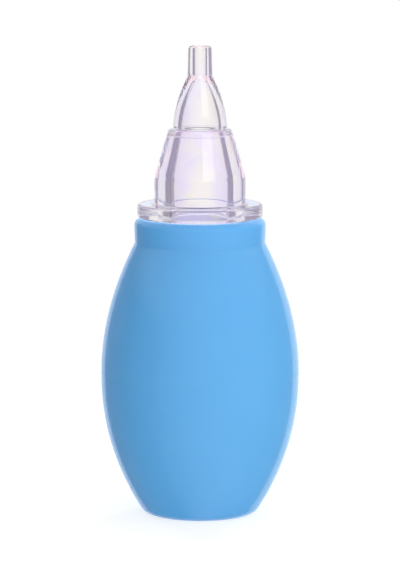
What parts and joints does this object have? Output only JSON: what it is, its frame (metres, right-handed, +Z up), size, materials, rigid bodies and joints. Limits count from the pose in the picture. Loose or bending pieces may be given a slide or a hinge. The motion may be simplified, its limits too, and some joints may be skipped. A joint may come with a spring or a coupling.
{
  "type": "nasal aspirator",
  "caption": "Bulb nasal aspirator: a soft squeeze bulb with a collared neck, a clear flanged nozzle base plugged into it, and a clear tapered nose tip that pulls off.",
  "frame": {"origin": "centre of the bulb's foot, on the surface that it stands on", "axes": "+Z up the bulb's axis towards the nose tip; the part is turned about +Z, and -Y faces the viewer in the picture"},
  "size_m": [0.0528, 0.0528, 0.1243],
  "materials": {
    "soft_blue": "satin",
    "clear_rigid": "clear gloss",
    "clear_soft": "clear gloss"
  },
  "bodies": {
    "bulb": {"squeeze_bulb": "soft_blue"},
    "nozzle": {"nozzle_base": "clear_rigid"},
    "tip": {"nose_tip": "clear_soft"}
  },
  "joints": [
    {"name": "nozzle_pull", "type": "slide", "parent": "bulb", "child": "nozzle", "axis": [0, 0, 1], "range_m": [0, 0.02]},
    {"name": "tip_pull", "type": "slide", "parent": "nozzle", "child": "tip", "axis": [0, 0, 1], "range_m": [0, 0.01]}
  ]
}
